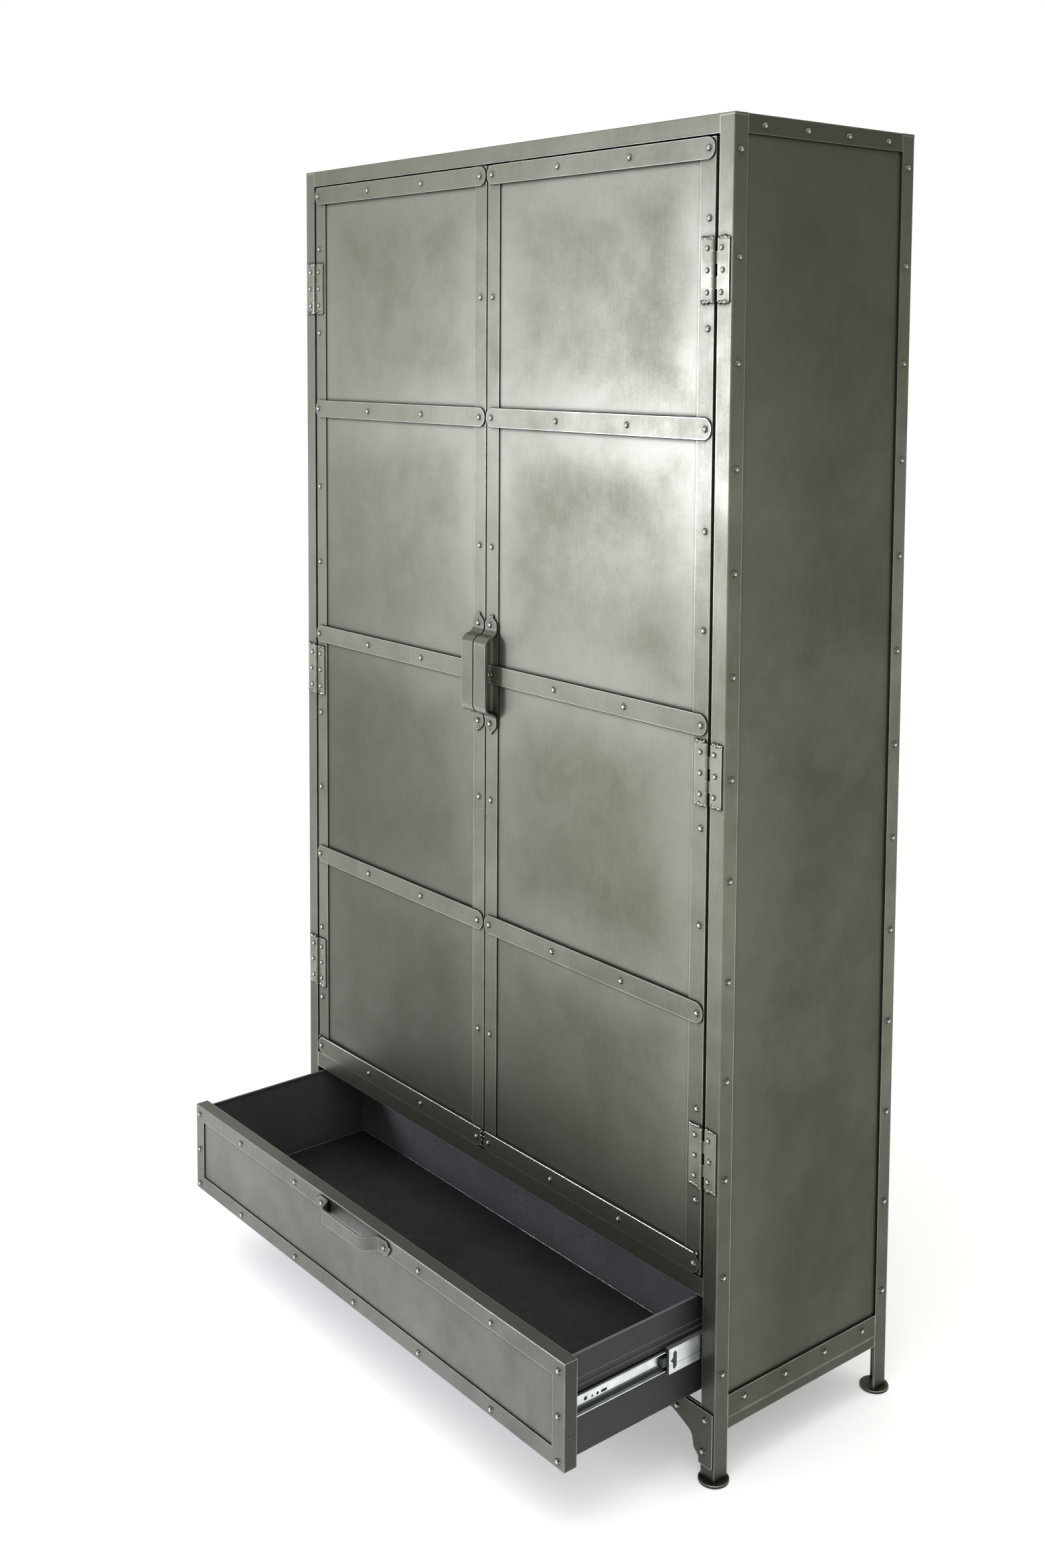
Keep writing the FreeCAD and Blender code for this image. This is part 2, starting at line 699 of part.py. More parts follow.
def drawer_side():
    """Right-hand side of the box, with a hemmed rim and a stiffening bead outside."""
    start, end = box_span()
    wall = plate((BOX_HALF - SHEET, BOX_HALF), (start, end), (BOX_LOW, BOX_HIGH))
    hem = plate((BOX_HALF - SHEET - BOX_HEM, BOX_HALF), (start, end), (BOX_HIGH - BOX_HEM, BOX_HIGH))
    bead = plate((BOX_HALF, BOX_HALF + BEAD_PROUD), (start, end), (BEAD_LOW, BEAD_HIGH))
    crease = plate((BOX_HALF - CREASE, BOX_HALF), (start, end), (CREASE_Z, CREASE_Z + CREASE))
    return joined([wall, hem, bead]).cut(crease)


def drawer_back():
    """Back of the box, between the sides."""
    end = box_span()[1]
    half = BOX_HALF - SHEET
    return plate((-half, half), (end - SHEET, end), (BOX_LOW + SHEET, BOX_HIGH - BOX_HEM))


def drawer_bottom():
    """Bottom of the box, between the sides."""
    start, end = box_span()
    half = BOX_HALF - SHEET
    return plate((-half, half), (start, end), (BOX_LOW, BOX_LOW + SHEET))


def drawer_pull():
    """Bent strip near the top of the drawer front, lying across."""
    pull = bent_strip(DRAWER_PULL_WIDTH, DRAWER_PULL_LENGTH, DRAWER_PULL_RAMP, DRAWER_PULL_BEND)
    pull.rotate(V(0, 0, 0), V(0, 1, 0), 90)
    pull.translate(V(0, DRAWER_FACE, FRONT_HIGH - DRAWER_PULL_DROP))
    return pull


def drawer_rivets():
    """Heads round the drawer front and at the ends of its pull."""
    inset = FRONT_STRIP / 2
    side_x = FRONT_WIDTH / 2 - inset
    top = FRONT_HIGH - inset - DRAWER_RIVET_SHIFT
    low = FRONT_LOW + inset - DRAWER_RIVET_SHIFT
    places = []
    for side in SIDES:
        places += [V(side * side_x, DRAWER_FACE, z) for z in spread(low, top, 3)]
        places += [V(side * x, DRAWER_FACE, z) for x in DRAWER_RIVET_X for z in (low, top)]
    places.append(V(0, DRAWER_FACE, low))
    pull_z = FRONT_HIGH - DRAWER_PULL_DROP
    for side in SIDES:
        places.append(V(side * DRAWER_PULL_RIVETS / 2, DRAWER_FACE - PULL_THICK, pull_z))
    return group([rivet(place, FORWARD, DRAWER_RIVET) for place in places])


# ---------------------------------------------------------------- slides


def channel(x_web, x_lip, half, start, length):
    """C-shaped slide member: the web at x_web, the lips reaching to x_lip."""
    toward = 1 if x_lip > x_web else -1
    run = (start, start + length)
    web = plate((x_web, x_web + toward * SLIDE_SKIN), run, (SLIDE_Z - half, SLIDE_Z + half))
    parts = [web]
    for side in SIDES:
        edge = SLIDE_Z + side * half
        parts.append(plate((x_web, x_lip), run, (edge, edge - side * SLIDE_SKIN)))
    return joined(parts)


def middle_start():
    """Front end of the middle members."""
    return SLIDE_START + DRAWER_OPEN * (1 - MIDDLE_RATIO)


def slide_outer():
    """Member on the carcass, open towards the drawer."""
    start = SLIDE_START + DRAWER_OPEN
    return channel(OPENING, OPENING - OUTER_LIP, OUTER_HALF, start, SLIDE_LENGTH)


def slide_middle():
    """Middle member, between the other two, with a rib line and a slot at its front end."""
    start = middle_start()
    back = OPENING - MIDDLE_INSET
    member = channel(back, back - MIDDLE_LIP, MIDDLE_HALF, start, SLIDE_LENGTH)
    slot = plate(
        (back - SLIDE_SKIN, back),
        (start + SLOT[0], start + SLOT[1]),
        (SLIDE_Z - SLOT_HALF, SLIDE_Z + SLOT_HALF),
    )
    rib_z = SLIDE_Z - MIDDLE_RIB
    rib = plate((back - RIB_DEPTH, back), (start, start + SLIDE_LENGTH), (rib_z, rib_z + RIB_DEPTH))
    return member.cut([slot, rib])


def slide_inner():
    """Member on the drawer: a narrow web, shoulders that flare, lips, and mounting holes."""
    start = SLIDE_START
    lip_x = BOX_HALF + INNER_LIP
    shoulder_x = BOX_HALF + INNER_SHOULDER
    outer_path = [(BOX_HALF, INNER_WEB), (shoulder_x, INNER_HALF), (lip_x, INNER_HALF)]
    inner_path = [
        (lip_x, INNER_HALF - SLIDE_SKIN),
        (shoulder_x + SLIDE_SKIN / 2, INNER_HALF - SLIDE_SKIN),
        (BOX_HALF + SLIDE_SKIN, INNER_WEB),
    ]
    upper = outer_path + inner_path
    lower = [(x, -z) for x, z in reversed(upper)]
    corners = [V(x, start, SLIDE_Z + z) for x, z in upper + lower]
    face = Part.Face(Part.makePolygon(corners + corners[:1]))
    member = face.extrude(V(0, SLIDE_LENGTH, 0))
    web = (BOX_HALF, BOX_HALF + SLIDE_SKIN)
    holes = []
    for offset, radius in SCREW_HOLES:
        middle = V(BOX_HALF, start + offset, SLIDE_Z)
        holes.append(Part.makeCylinder(radius, SLIDE_SKIN, middle, V(1, 0, 0)))
    long_hole = (SLIDE_Z - LONG_HOLE_HALF, SLIDE_Z + LONG_HOLE_HALF)
    holes.append(plate(web, (start + LONG_HOLE[0], start + LONG_HOLE[1]), long_hole))
    hook = plate(
        web,
        (start + HOOK_HOLE - SLOT_HALF / 2, start + HOOK_HOLE),
        (SLIDE_Z - SLIDE_SKIN, SLIDE_Z + INNER_WEB / 2),
    )
    return member.cut(holes + [hook])


def slide_cage():
    """Black ball cage, lever and stop at the front of the middle member."""
    start = middle_start()
    run = (start - CAGE_NOSE, start + CAGE_LENGTH)
    inside = OPENING - MIDDLE_INSET - SLIDE_SKIN - CAGE_GAP
    reach = MIDDLE_HALF - SLIDE_SKIN - CAGE_GAP
    parts = [plate((inside - CAGE_SKIN, inside), run, (SLIDE_Z - reach, SLIDE_Z + reach))]
    for side in SIDES:
        edge = SLIDE_Z + side * reach
        parts.append(plate((inside - CAGE_LIP, inside), run, (edge, edge - side * CAGE_SKIN)))
    lever_y = (start + SLOT[0] + 1, start + SLOT[1] - 1)
    lever_z = (SLIDE_Z - LEVER_HALF, SLIDE_Z + LEVER_HALF)
    parts.append(plate((inside, inside + LEVER_PROUD), lever_y, lever_z))
    tongue_x = (BOX_HALF + SLIDE_SKIN + TONGUE_GAP, inside - CAGE_SKIN)
    tongue_z = (SLIDE_Z - TONGUE_HALF, SLIDE_Z + TONGUE_HALF)
    parts.append(plate(tongue_x, (start - TONGUE_LENGTH, start + CAGE_SKIN), tongue_z))
    return joined(parts)


def build():
    """Every node by name."""
    nodes = {}
    for side, hand in zip(SIDES, ("left", "right")):
        nodes["leg_front_" + hand] = leg(side, -1)
        nodes["leg_rear_" + hand] = leg(side, 1)
    nodes["top_rail_front"] = top_cross_rail(-1)
    nodes["top_rail_rear"] = top_cross_rail(1)
    nodes["top_rails_side"] = group([top_side_rail(), mirrored(top_side_rail())])
    nodes["mid_rail_front"] = mid_rail()
    nodes["bottom_rail_front"] = bottom_cross_rail(-1, FRONT_RAIL_TOP)
    nodes["bottom_rail_rear"] = bottom_cross_rail(1, RAIL_TOP)
    nodes["bottom_rails_side"] = group([bottom_side_rail(), mirrored(bottom_side_rail())])
    nodes["top_panel"] = top_panel()
    nodes["back_panel"] = back_panel()
    nodes["deck_panel"] = deck_panel()
    for level, name in zip(SHELF_LEVELS, ("lower", "middle", "upper")):
        nodes["shelf_" + name] = shelf(level)
    nodes["ledger_bars"] = ledger_bars()
    nodes["foot_discs"] = feet()
    nodes["leg_gussets"] = group([gusset(), mirrored(gusset())])
    nodes["hinge_leaves_frame"] = group([frame_leaves(), mirrored(frame_leaves())])
    nodes["hinge_pins"] = group([hinge_pins(), mirrored(hinge_pins())])
    nodes["rivets_front"] = front_rivets()
    nodes["rivets_rear"] = back_rivets()
    nodes["magnetic_catches"] = catch_pads()
    nodes["drawer_front_frame"] = drawer_frame()
    nodes["drawer_front_panel"] = drawer_panel()
    nodes["drawer_back"] = drawer_back()
    nodes["drawer_bottom"] = drawer_bottom()
    nodes["drawer_pull"] = drawer_pull()
    nodes["drawer_rivets"] = drawer_rivets()
    handed = {
        "side_panel": side_panel,
        "rivets_side": side_rivets,
        "door_frame": door_frame,
        "door_panel": door_panel,
        "door_straps": door_straps,
        "door_pull": door_pull,
        "door_rivets": door_rivets,
        "door_hinge_leaves": door_leaves,
        "door_strike_plate": strike_plate,
        "drawer_side": drawer_side,
        "slide_outer": slide_outer,
        "slide_middle": slide_middle,
        "slide_inner": slide_inner,
        "slide_ball_cage": slide_cage,
    }
    for name, make in handed.items():
        nodes[name + "_right"] = make()
        nodes[name + "_left"] = mirrored(nodes[name + "_right"])
    return nodes


os.makedirs("parts", exist_ok=True)
for node_name, node_shape in build().items():
    node_shape.exportStep(os.path.join("parts", node_name + ".step"))
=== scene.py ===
"""Looks of the riveted two-door metal cabinet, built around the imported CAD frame. Metres throughout."""
import json
import math
import random

import bmesh
import bpy
from mathutils import Matrix, Vector


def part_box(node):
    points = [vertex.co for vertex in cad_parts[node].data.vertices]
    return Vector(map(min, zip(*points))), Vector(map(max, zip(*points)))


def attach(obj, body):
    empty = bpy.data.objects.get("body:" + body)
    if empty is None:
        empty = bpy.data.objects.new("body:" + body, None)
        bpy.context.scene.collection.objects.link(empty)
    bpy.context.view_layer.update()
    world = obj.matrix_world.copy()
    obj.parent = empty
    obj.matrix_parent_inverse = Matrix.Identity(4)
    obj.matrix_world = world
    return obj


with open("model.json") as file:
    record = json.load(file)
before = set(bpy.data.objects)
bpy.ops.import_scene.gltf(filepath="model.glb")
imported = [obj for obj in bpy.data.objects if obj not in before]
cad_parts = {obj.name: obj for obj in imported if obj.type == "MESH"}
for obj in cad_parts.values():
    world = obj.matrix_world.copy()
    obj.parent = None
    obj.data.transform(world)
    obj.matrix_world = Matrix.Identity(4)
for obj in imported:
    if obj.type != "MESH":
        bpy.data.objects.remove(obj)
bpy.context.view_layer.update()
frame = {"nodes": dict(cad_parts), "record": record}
NODES = frame["nodes"]

# Camera: where it stands, which way it looks, its lens and its vertical framing shift
CAMERA_PLACE = (2.006, -1.743, 1.503)
CAMERA_HEADING = 50.81
CAMERA_PITCH = 4.72
CAMERA_ROLL = 0.32
CAMERA_LENS = 39.2
CAMERA_SHIFT = -0.185

# Light
WORLD_BRIGHT = 0.56
WORLD_DARK = 0.14
WORLD_ZENITH = 1.5
WORLD_FILL = 0.75
WORLD_TINT = (1.0, 0.985, 0.895)
KEY_PLACE = (-1.60, -2.68, 1.34)
KEY_AIM = (0.44, -0.18, 1.47)
KEY_SIZE = 0.6
KEY_POWER = 54.0
KEY_TINT = (0.935, 0.955, 1.11)
TOP_PLACE = (0.6, -1.6, 3.8)
TOP_AIM = (0.0, -0.2, 0.6)
TOP_SIZE = 3.0
TOP_POWER = 60.0
TOP_TINT = (1.0, 1.0, 1.0)
BRIGHT_SIDE = (-0.62, -0.72, 0.32)
FILL_SIDE = (0.70, -0.70, 0.12)
FLOOR_SIZE = 60.0
FLOOR_DROP = 0.0005
FLOOR_GLOW = 0.38
FLOOR_TONES = ((0.70, 0.705, 0.735), (0.73, 0.735, 0.765))

# Colours, linear
PATINA_DARK = (0.112, 0.111, 0.083)
PATINA_LIGHT = (0.212, 0.211, 0.176)
# Burnished metal, also the colour of painted highlights on edges and rivet tops
BURNISHED_AND_HIGHLIGHT = (0.72, 0.71, 0.67)
# Dark of soiling and painted shade in corners
GRIME_AND_SHADE = (0.012, 0.012, 0.010)
# Dark of the painted shade towards the bottom and on faces that look sideways
PAINTED_SHADE = (0.030, 0.030, 0.024)
# Dark of soiling and painted shade on the lacquer
LACQUER_DIRT_AND_SHADE = (0.006, 0.006, 0.007)
# Rubbed lacquer edges, partly a painted highlight
LACQUER_RUBBED_AND_HIGHLIGHT = (0.30, 0.31, 0.32)
# Dark teal of soiling, painted shade and painted reflection on the slides
SLIDE_DIRT_AND_SHADE = (0.020, 0.036, 0.038)

# Grain of the patina, in cycles for each metre, and how far it lightens the tone
MOTTLE_SCALE = 24.0
MOTTLE_TONE = 0.20
BRUSH_SCALE = 520.0
BRUSH_STRETCH = (1.0, 1.0, 0.05)
SPECKLE_SCALE = 260.0
FINE_TONE = 0.10
RIM_TONE = 0.60
# Depth over which the side sheets take painted light towards their front edge
FRONT_REACH = (-0.16, 0.0)
# Width of the lighter edges, part wear and part painted highlight
WEAR_AND_HIGHLIGHT_RADIUS = 0.0017
# Reach of the painted shade in wide corners
WIDE_SHADE_REACH = 0.04

# Measures of the CAD model that its boxes don't give
BARREL = 0.0027          # radius of the hinge knuckles
DOOR_LEAF_ROOT = 0.0032  # from the pin to the flat of a leaf
FRAME_LEAF_ROOT = 0.006
STRAP_END = 0.013        # from the end of a strap to its last rivet
BEAD_PROUD = 0.0012      # how far the bead stands out of the drawer's sides
DRAWER_WALL = 0.4617     # just inside the outer faces of the drawer's sides
CREASE_Z = 0.2145        # the crease of the drawer's sides, with its spot weld
DRAWER_SPOT_Z = 0.150    # the spot weld on the flange of the drawer's front

# Shapes made here
LEAF_WELD = 0.0023
LEAF_WELD_WOBBLE = 0.0006
PULL_TIP_WELDS = ((0.000, 0.0026), (0.0045, 0.0030), (0.0075, 0.0018))   # distance from the tip, size
STRAP_LIP = 0.0009
FLOOR_SEAM = 0.0011
CORNER_SEAM = 0.0009
BEAD_SIDES = 8
LEVER_OUTLINE = ((0.003, 0.000), (0.0075, 0.0035), (0.0080, 0.0095), (0.0105, 0.0125), (0.0130, 0.0095),
                 (0.0125, -0.0090), (0.0100, -0.0125), (0.0075, -0.0100), (0.0078, -0.0040))
LEVER_SUNK = 0.0004
LEVER_PROUD = 0.0005

OUT = (0.0, -1.0, 0.0)   # the way the front faces


class Tree:
    """A short way to write a material's nodes."""

    def __init__(self, name, tree=None):
        if tree is None:
            self.material = bpy.data.materials.new(name)
            self.material.use_nodes = True
            tree = self.material.node_tree
        self.tree = tree
        self.tree.nodes.clear()

    def add(self, kind, inputs=None, **settings):
        node = self.tree.nodes.new("ShaderNode" + kind)
        for key, value in settings.items():
            setattr(node, key, value)
        for key, value in (inputs or {}).items():
            self.put(node.inputs[key], value)
        return node

    def put(self, socket, value):
        if isinstance(value, bpy.types.NodeSocket):
            self.tree.links.new(value, socket)
        elif socket.type == "RGBA":
            socket.default_value = (*value[:3], 1.0)
        else:
            socket.default_value = value

    def place(self):
        return self.add("TexCoord").outputs["Object"]

    def facing(self):
        """The three parts of the direction that the surface looks in."""
        return self.add("SeparateXYZ", {0: self.add("TexCoord").outputs["Normal"]}).outputs

    def stretched(self, vector, scale):
        return self.add("Mapping", {"Vector": vector, "Scale": scale}).outputs["Vector"]

    def noise(self, vector, scale, detail=3.0, roughness=0.5, distortion=0.0):
        inputs = {"Vector": vector, "Scale": scale, "Detail": detail,
                  "Roughness": roughness, "Distortion": distortion}
        return self.add("TexNoise", inputs).outputs["Fac"]

    def maths(self, operation, a, b=0.0, clamp=False):
        return self.add("Math", {0: a, 1: b}, operation=operation, use_clamp=clamp).outputs[0]

    def span(self, value, low, high, out_low=0.0, out_high=1.0):
        inputs = {"Value": value, "From Min": low, "From Max": high,
                  "To Min": out_low, "To Max": out_high}
        return self.add("MapRange", inputs, interpolation_type="SMOOTHSTEP").outputs["Result"]

    def blend(self, factor, a, b, kind="MIX"):
        node = self.add("Mix", data_type="RGBA", blend_type=kind)
        self.put(node.inputs[0], factor)
        self.put(node.inputs[6], a)
        self.put(node.inputs[7], b)
        return node.outputs[2]

    def edges(self, radius, low, high):
        """1 along the piece's own edges, 0 on its flats."""
        rounded = self.add("Bevel", {"Radius": radius}, samples=4).outputs["Normal"]
        normal = self.add("NewGeometry").outputs["Normal"]
        dot = self.add("VectorMath", {0: rounded, 1: normal}, operation="DOT_PRODUCT").outputs["Value"]
        return self.span(self.maths("SUBTRACT", 1.0, dot), low, high)

    def crevices(self, distance, low, high):
        """1 deep in corners and under rivets, 0 in the open."""
        open_air = self.add("AmbientOcclusion", {"Distance": distance}, samples=6).outputs["AO"]
        return self.span(open_air, low, high, 1.0, 0.0)

    def bump(self, height, strength, distance, normal=None):
        inputs = {"Height": height, "Strength": strength, "Distance": distance}
        if normal is not None:
            inputs["Normal"] = normal
        return self.add("Bump", inputs).outputs["Normal"]

    def finish(self, **inputs):
        named = {key.replace("_", " "): value for key, value in inputs.items()}
        shader = self.add("BsdfPrincipled", named)
        out = self.add("OutputMaterial")
        self.tree.links.new(shader.outputs[0], out.inputs[0])
        return self.material


def span_groups(node, gap=0.05):
    """Lowest and highest z of each group of vertices of a node that stands apart in height."""
    heights = sorted(vertex.co.z for vertex in NODES[node].data.vertices)
    groups = [[heights[0], heights[0]]]
    for height in heights[1:]:
        if height - groups[-1][1] > gap:
            groups.append([height, height])
        groups[-1][1] = height
    return groups


def bay_rims(t, place):
    """0 in the middle of each bay of a door, 1 along the straps and stiles round it."""
    across, _, up = t.add("SeparateXYZ", {0: place}).outputs
    low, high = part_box("door_panel_right")
    half = (high.x - low.x) / 2
    from_middle = t.maths("ABSOLUTE", t.maths("SUBTRACT", t.maths("ABSOLUTE", across), low.x + half))
    rim = t.maths("DIVIDE", from_middle, half)
    straps = [(bottom + top) / 2 for bottom, top in span_groups("door_straps_right")]
    nearest = None
    for below, above in zip(straps, straps[1:]):
        off = t.maths("ABSOLUTE", t.maths("SUBTRACT", up, (below + above) / 2))
        off = t.maths("DIVIDE", off, (above - below) / 2)
        nearest = off if nearest is None else t.maths("MINIMUM", nearest, off)
    return t.span(t.maths("MAXIMUM", rim, nearest), 0.45, 1.0)


def pewter(name, dark, light, metal=0.85, gloss=(0.34, 0.52), cloud_scale=5.0, cloud=0.40, edge=0.8,
           grime_and_shade_weight=0.95, reach=0.0075, corner=(0.60, 0.985), wide_shade=0.35, wave=0.0, bays=False, shade_below=0.0,
           shade_below_span=(0.1, 1.25), lean=0.0, side_shade=0.0, front=0.0, crown_highlight=0.0):
    """Antiqued steel: cloudy patina, faint brushing, burnished edges with painted highlight, and corners
    darkened by soiling and painted shade.

    Corners narrower than reach darken with soiling and painted shade, and the wider ones with painted
    shade by haze. Painted shade darkens the surface by fade from the upper to the lower height of
    shade_below_span, which rises by lean for each metre to the left, and by flanks on faces that look
    sideways. Painted light makes it lighter by front towards the front edge of a side sheet. It is
    lighter along the rims of the bays of a door, and on top of rivet heads by crowns, part burnished
    metal and part painted highlight.
    """
    t = Tree(name)
    place = t.place()
    clouds = t.noise(place, cloud_scale, 3.0, 0.5, 0.4)
    mottle = t.noise(place, MOTTLE_SCALE, 5.0, 0.62, 0.2)
    brushed = t.noise(t.stretched(place, BRUSH_STRETCH), BRUSH_SCALE, 2.0, 0.5)
    speckle = t.noise(place, SPECKLE_SCALE, 3.0, 0.6)
    tone = t.span(clouds, 0.30, 0.70, 0.0, cloud)
    tone = t.maths("ADD", tone, t.span(mottle, 0.28, 0.74, 0.0, MOTTLE_TONE))
    tone = t.maths("ADD", tone, t.span(brushed, 0.25, 0.75, 0.0, FINE_TONE))
    tone = t.maths("ADD", tone, t.span(speckle, 0.30, 0.70, 0.0, FINE_TONE))
    if bays:
        tone = t.maths("ADD", tone, t.maths("MULTIPLY", bay_rims(t, place), RIM_TONE))
    # Painted light: the side sheet is lighter towards its front edge
    if front:
        depth = t.add("SeparateXYZ", {0: place}).outputs[1]
        tone = t.maths("ADD", tone, t.span(depth, *FRONT_REACH, front, 0.0))
    tone = t.maths("MULTIPLY", tone, 1.0, clamp=True)
    colour = t.blend(tone, dark, light)
    # Painted shade: darker towards the bottom, and more so towards the left
    if shade_below:
        across, _, up = t.add("SeparateXYZ", {0: place}).outputs
        up = t.maths("ADD", up, t.maths("MULTIPLY", across, lean))
        colour = t.blend(t.span(up, *shade_below_span, shade_below, 0.0), colour, PAINTED_SHADE)
    # Painted shade: faces that look sideways, such as the drawer front's side flanges, are darker
    if side_shade:
        sideways = t.facing()[0]
        sideways = t.span(t.maths("ABSOLUTE", sideways), 0.6, 0.9, 0.0, side_shade)
        colour = t.blend(sideways, colour, PAINTED_SHADE)
    # Soiling and painted shade: narrow corners, gaps and the rims round rivets are darker
    corners = t.crevices(reach, *corner)
    dirt_and_shade = t.maths("MULTIPLY", corners, grime_and_shade_weight)
    # Painted shade: wider corners, such as beside the pulls, darken as if in shadow
    if wide_shade:
        dirt_and_shade = t.maths("MAXIMUM", dirt_and_shade, t.maths("MULTIPLY", t.crevices(WIDE_SHADE_REACH, 0.35, 1.0), wide_shade))
    colour = t.blend(dirt_and_shade, colour, GRIME_AND_SHADE)
    # Edges lighter: part real wear, part painted highlight where rounded edges would catch the light
    worn_and_highlit = t.maths("MULTIPLY", t.edges(WEAR_AND_HIGHLIGHT_RADIUS, 0.003, 0.09), t.span(mottle, 0.28, 0.62, 0.5, 1.0))
    worn_and_highlit = t.maths("MULTIPLY", worn_and_highlit, t.span(corners, 0.40, 0.98, edge, 0.0))
    colour = t.blend(worn_and_highlit, colour, BURNISHED_AND_HIGHLIGHT)
    # Rivet tops lighter: part burnished metal, part painted highlight
    if crown_highlight:
        across, depth, _ = t.facing()
        outward = t.maths("MAXIMUM", t.maths("ABSOLUTE", across), t.maths("ABSOLUTE", depth))
        colour = t.blend(t.span(outward, 0.78, 0.97, 0.0, crown_highlight), colour, BURNISHED_AND_HIGHLIGHT)
    rough = t.span(tone, 0.0, 1.0, gloss[1], gloss[0])
    rough = t.maths("ADD", rough, t.maths("MULTIPLY", dirt_and_shade, 0.25))
    rough = t.maths("SUBTRACT", rough, t.maths("MULTIPLY", worn_and_highlit, 0.12))
    normal = t.bump(speckle, 0.10, 0.0002)
    normal = t.bump(brushed, 0.12, 0.0001, normal)
    normal = t.bump(mottle, 0.10, 0.0006, normal)
    if wave:
        normal = t.bump(t.noise(place, 4.0, 2.0, 0.4), 0.5, wave, normal)
    return t.finish(Base_Color=colour, Metallic=metal, Roughness=rough, Normal=normal)


def charcoal(name, dark, light, gloss=(0.40, 0.58), shade=0.3, outer_wall=None):
    """Dark satin lacquer with faint rubbed edges that are partly a painted highlight, soiling and painted
    shade in its corners, painted shade deep inside, and painted shade outside the wall at that distance
    from the middle.
    """
    t = Tree(name)
    place = t.place()
    clouds = t.noise(place, 6.0, 4.0, 0.6, 0.3)
    fine = t.noise(place, 190.0, 4.0, 0.6)
    tone = t.maths("ADD", t.span(clouds, 0.3, 0.7, 0.0, 0.7), t.span(fine, 0.3, 0.7, 0.0, 0.3), clamp=True)
    colour = t.blend(tone, dark, light)
    # Painted shade deep inside the box
    deep = t.crevices(0.10, 0.30, 0.95)
    dirt_and_shade = t.maths("MAXIMUM", t.maths("MULTIPLY", t.crevices(0.008, 0.4, 0.95), 0.7),
                   t.maths("MULTIPLY", deep, shade))
    # Painted shade on the outer faces of the drawer's sides
    if outer_wall:
        across = t.maths("ABSOLUTE", t.add("SeparateXYZ", {0: place}).outputs[0])
        outside = t.span(across, outer_wall - 0.0003, outer_wall, 0.0, 0.82)
        dirt_and_shade = t.maths("MAXIMUM", dirt_and_shade, outside)
    colour = t.blend(dirt_and_shade, colour, LACQUER_DIRT_AND_SHADE)
    # Rubbed edges, partly a painted highlight
    colour = t.blend(t.maths("MULTIPLY", t.edges(0.0012, 0.01, 0.15), 0.8), colour, LACQUER_RUBBED_AND_HIGHLIGHT)
    rough = t.span(fine, 0.2, 0.8, gloss[0], gloss[1])
    normal = t.bump(fine, 0.16, 0.0002)
    return t.finish(Base_Color=colour, Metallic=0.35, Roughness=rough, Normal=normal)


def zinc(name, groove=None):
    """Bright zinc plate, with the cool tint and faint rolling marks of a drawer slide.

    The groove is a dark teal band between two heights, a painted reflection along the slide's channel.
    """
    t = Tree(name)
    place = t.place()
    rolled = t.noise(t.stretched(place, (1.0, 0.02, 1.0)), 500.0, 2.0, 0.5)
    cloud = t.noise(place, 40.0, 3.0, 0.5)
    colour = t.blend(t.span(cloud, 0.3, 0.7), (0.62, 0.66, 0.67), (0.84, 0.87, 0.87))
    # Soiling and painted shade in the corners
    dirt_and_shade = t.maths("MULTIPLY", t.crevices(0.008, 0.42, 0.86), 0.93)
    # Painted reflection: a dark teal band along the channel
    if groove:
        up = t.add("SeparateXYZ", {0: place}).outputs[2]
        above = t.span(up, groove[0] - 0.0005, groove[0] + 0.0005)
        below = t.span(up, groove[1] - 0.0012, groove[1] + 0.0012, 0.90, 0.0)
        dirt_and_shade = t.maths("MAXIMUM", dirt_and_shade, t.maths("MULTIPLY", above, below))
    colour = t.blend(dirt_and_shade, colour, SLIDE_DIRT_AND_SHADE)
    rough = t.span(rolled, 0.2, 0.8, 0.26, 0.36)
    return t.finish(Base_Color=colour, Metallic=0.9, Roughness=rough,
                    Normal=t.bump(rolled, 0.08, 0.0001))


def moulded_black(name):
    """Black moulded plastic with a fine grain."""
    t = Tree(name)
    grain = t.noise(t.place(), 1400.0, 2.0, 0.6)
    colour = t.blend(t.span(grain, 0.3, 0.7), (0.012, 0.012, 0.013), (0.030, 0.030, 0.032))
    return t.finish(Base_Color=colour, Roughness=t.span(grain, 0.2, 0.8, 0.38, 0.55),
                    Normal=t.bump(grain, 0.3, 0.0001))


MATERIALS = {
    "frame_pewter": pewter("frame_pewter", (0.122, 0.120, 0.092), (0.242, 0.239, 0.203), gloss=(0.34, 0.46),
                           shade_below=0.62, shade_below_span=(0.05, 0.85)),
    "panel_pewter": pewter("panel_pewter", PATINA_DARK, PATINA_LIGHT, gloss=(0.42, 0.52), edge=0.6),
    "rivet_pewter": pewter("rivet_pewter", (0.08, 0.08, 0.07), (0.16, 0.158, 0.145), gloss=(0.20, 0.28),
                           cloud_scale=9.0, edge=0.0, reach=0.006, corner=(0.66, 0.995), wide_shade=0.0,
                           crown_highlight=0.85),
    "hinge_steel": pewter("hinge_steel", (0.155, 0.153, 0.122), (0.29, 0.287, 0.245), gloss=(0.34, 0.46),
                          cloud_scale=30.0, edge=0.7, grime_and_shade_weight=0.6, reach=0.002, corner=(0.35, 0.8), wide_shade=0.0),
    "inner_dark": charcoal("inner_dark", (0.060, 0.060, 0.056), (0.110, 0.110, 0.104)),
    "drawer_dark": charcoal("drawer_dark", (0.090, 0.092, 0.097), (0.138, 0.140, 0.146),
                            outer_wall=DRAWER_WALL),
    "zinc": zinc("zinc"),
    "black_plastic": moulded_black("black_plastic"),
}
